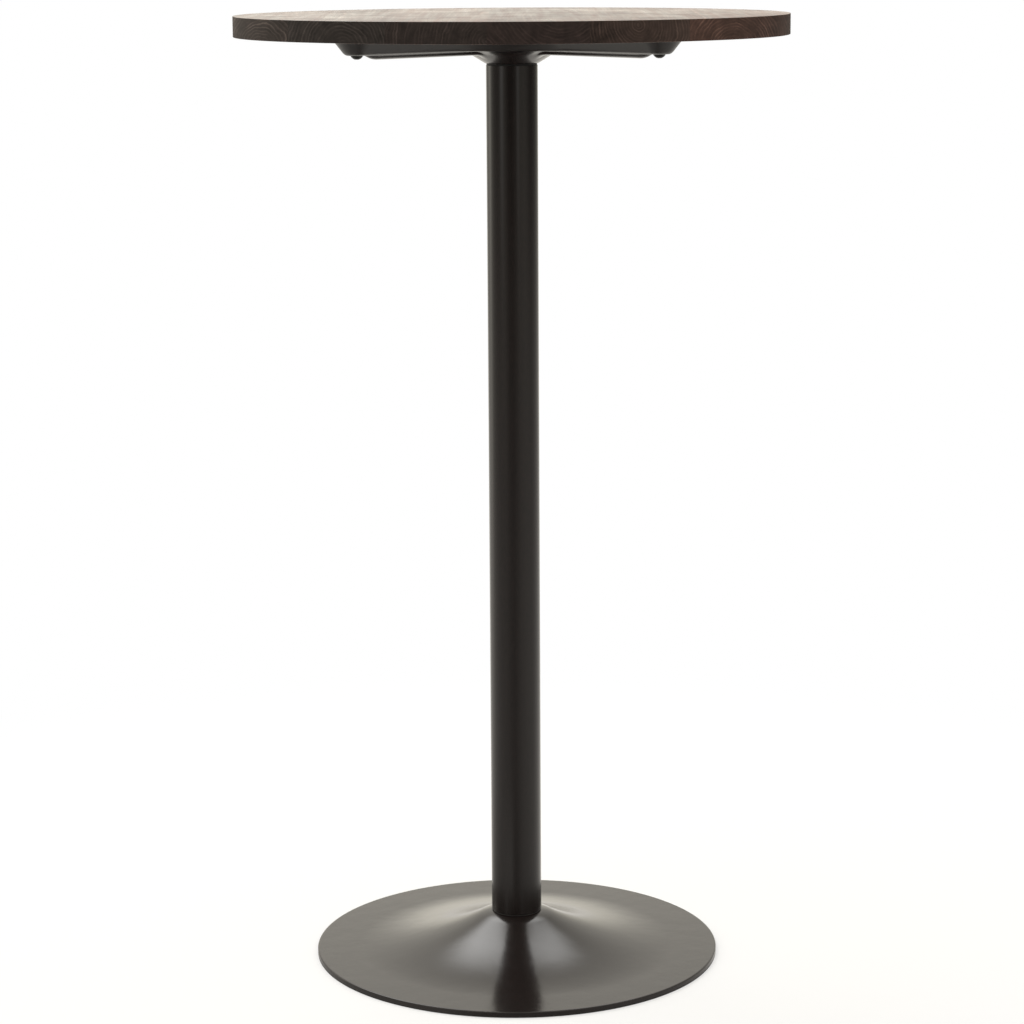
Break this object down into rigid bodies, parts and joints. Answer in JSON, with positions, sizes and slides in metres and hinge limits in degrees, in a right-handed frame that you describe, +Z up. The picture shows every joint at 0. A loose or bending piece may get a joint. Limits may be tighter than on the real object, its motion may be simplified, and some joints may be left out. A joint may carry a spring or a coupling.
{
  "type": "pub table",
  "caption": "Tall round bar table: dark stained board top on a pressed steel spider, a slim tube column and a low trumpet disc base.",
  "frame": {"origin": "on the floor, under the column's axis, at the centre of the base ring's underside", "axes": "+Z up along the column, -Y towards the front, +X to the right of someone facing the front; the top's grain runs along Y"},
  "size_m": [0.61, 0.61, 1.07],
  "materials": {
    "stained_wood": "dark brown stain under satin lacquer, end grain on the front and back edge",
    "dark_paint": "satin near-black brown powder coat",
    "black_screw": "black oxide, satin",
    "zinc_steel": "zinc plated, satin",
    "black_plastic": "matt moulded nylon",
    "bare_iron": "rough cast, dip painted grey-black",
    "rubber": "matt black"
  },
  "bodies": {
    "root": {"top_board_1": "stained_wood", "top_board_2": "stained_wood", "top_board_3": "stained_wood", "top_board_4": "stained_wood", "top_board_5": "stained_wood", "top_board_6": "stained_wood", "threaded_inserts": "zinc_steel", "arm_spacers": "zinc_steel", "arm_screws": "black_screw", "top_spider": "dark_paint", "column_top_plug": "black_plastic", "column_tube": "dark_paint", "column_foot_plug": "black_plastic", "tie_rod": "zinc_steel", "upper_washer": "zinc_steel", "upper_spring_washer": "zinc_steel", "upper_nut": "zinc_steel", "lower_washer": "zinc_steel", "lower_spring_washer": "zinc_steel", "lower_nut": "zinc_steel", "base_cover": "dark_paint", "base_weight": "bare_iron", "floor_ring": "rubber"}
  },
  "joints": []
}
